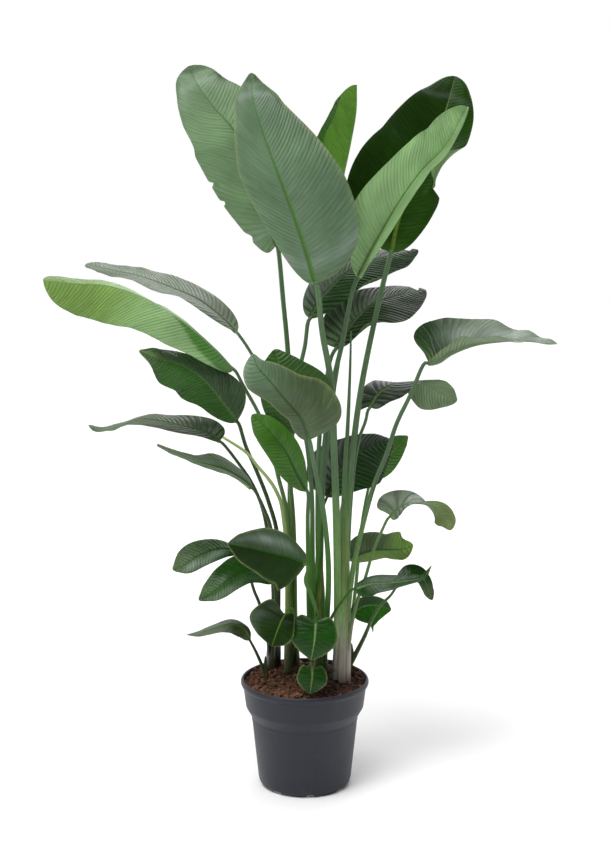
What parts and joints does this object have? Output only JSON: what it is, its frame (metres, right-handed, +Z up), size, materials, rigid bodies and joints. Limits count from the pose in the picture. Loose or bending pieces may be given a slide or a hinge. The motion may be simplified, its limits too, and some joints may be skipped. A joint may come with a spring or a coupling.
{
  "type": "potted bird of paradise plant",
  "caption": "Tall white bird of paradise clump with large paddle leaves on long stalks, rooted in soil in a plain round plastic nursery pot.",
  "frame": {"origin": "middle of the pot's flat bottom, on the surface the pot stands on", "axes": "+Z up, -Y the front of the clump, +X to the right seen from the front"},
  "size_m": [0.9924, 0.5206, 1.5008],
  "materials": {
    "pot": "satin",
    "soil": "rough coir and bark",
    "stalk": "smooth waxy",
    "stalk_pale": "dry matt",
    "leaf": "satin leaf"
  },
  "bodies": {
    "root": {"pot": "pot", "soil": "soil", "shoot_1": "stalk", "shoot_2": "stalk", "shoot_3": "stalk", "shoot_4": "stalk", "shoot_5": "stalk", "shoot_6": "stalk", "shoot_7": "stalk", "stalk_pale": "stalk_pale", "leaf_01": "leaf", "leaf_02": "leaf", "leaf_03": "leaf", "leaf_04": "leaf", "leaf_05": "leaf", "leaf_06": "leaf", "leaf_07": "leaf", "leaf_08": "leaf", "leaf_09": "leaf", "leaf_10": "leaf", "leaf_11": "leaf", "leaf_12": "leaf", "leaf_13": "leaf", "leaf_14": "leaf", "leaf_15": "leaf", "leaf_16": "leaf", "leaf_17": "leaf", "leaf_18": "leaf", "leaf_19": "leaf", "leaf_20": "leaf", "leaf_21": "leaf", "leaf_22": "leaf", "leaf_23": "leaf", "leaf_24": "leaf", "leaf_25": "leaf", "leaf_26": "leaf", "leaf_27": "leaf", "leaf_28": "leaf", "leaf_29": "leaf", "leaf_30": "leaf", "leaf_31": "leaf"}
  },
  "joints": []
}
